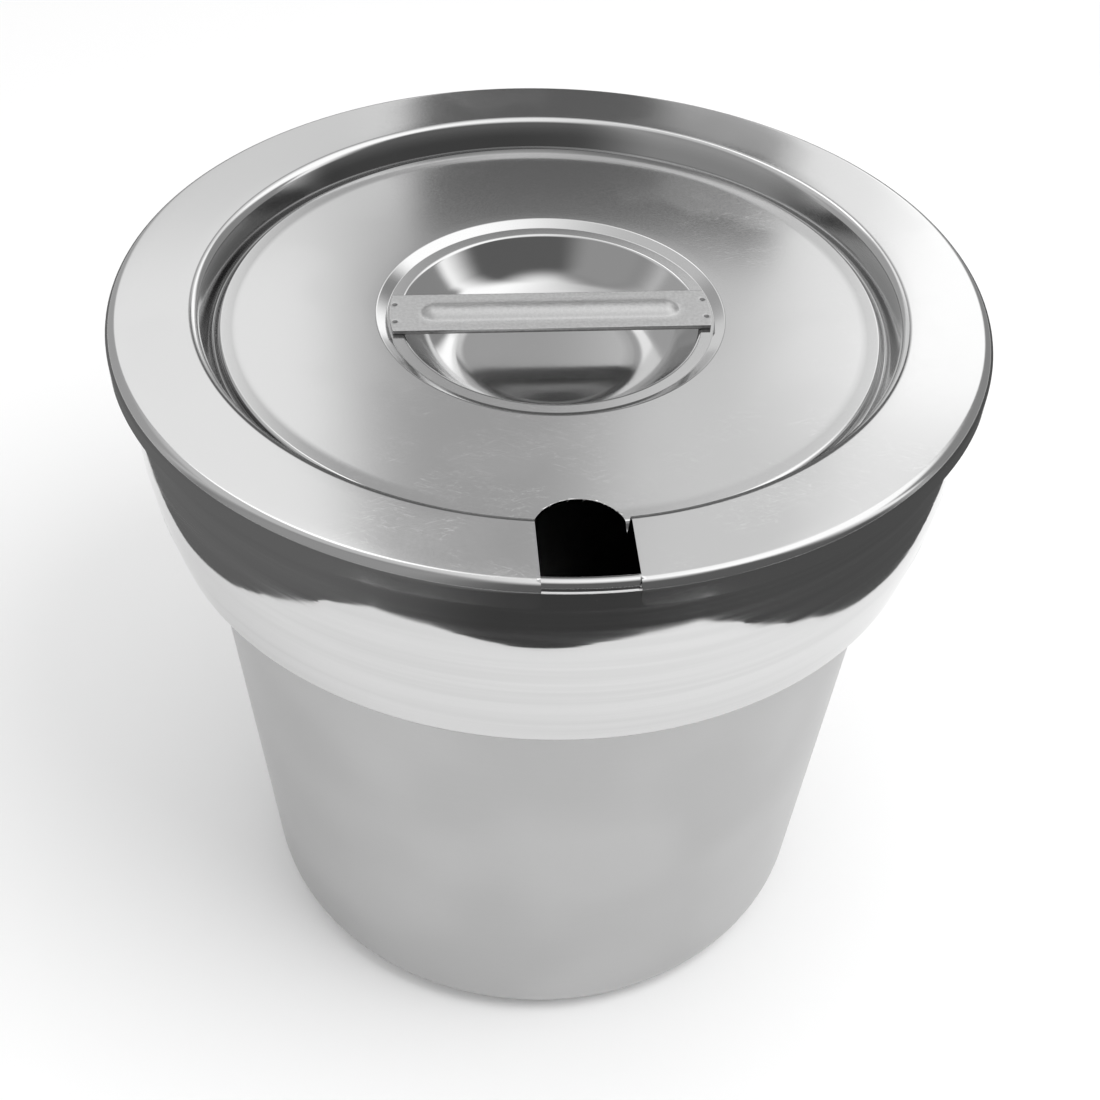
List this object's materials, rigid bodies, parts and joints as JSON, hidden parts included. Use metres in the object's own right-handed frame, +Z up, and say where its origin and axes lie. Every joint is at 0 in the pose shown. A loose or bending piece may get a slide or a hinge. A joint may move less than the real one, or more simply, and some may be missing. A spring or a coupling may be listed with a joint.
{
  "type": "soup kettle",
  "caption": "Round stainless steel soup kettle that hangs by its shoulder in a well, with a loose slotted cover and a sunken strap handle.",
  "frame": {"origin": "centre of the flat base, which is also the axis of the pot", "axes": "+Z up along the pot's axis; the ladle slot points along -Y and the strap handle lies along X"},
  "size_m": [0.242, 0.2415, 0.218],
  "materials": {
    "pot_steel": "mirror-polished shoulder and rim, satin body",
    "cover_steel": "fine satin with soft reflections",
    "strap_steel": "dull mill finish",
    "weld_steel": "dull, as welded"
  },
  "bodies": {
    "pot": {"pot": "pot_steel"},
    "lid": {"lid": "cover_steel", "handle_strap": "strap_steel", "spot_welds": "weld_steel"}
  },
  "joints": [
    {"name": "lid_lift", "type": "slide", "parent": "pot", "child": "lid", "axis": [0, 0, 1], "range_m": [0, 0.15]}
  ]
}
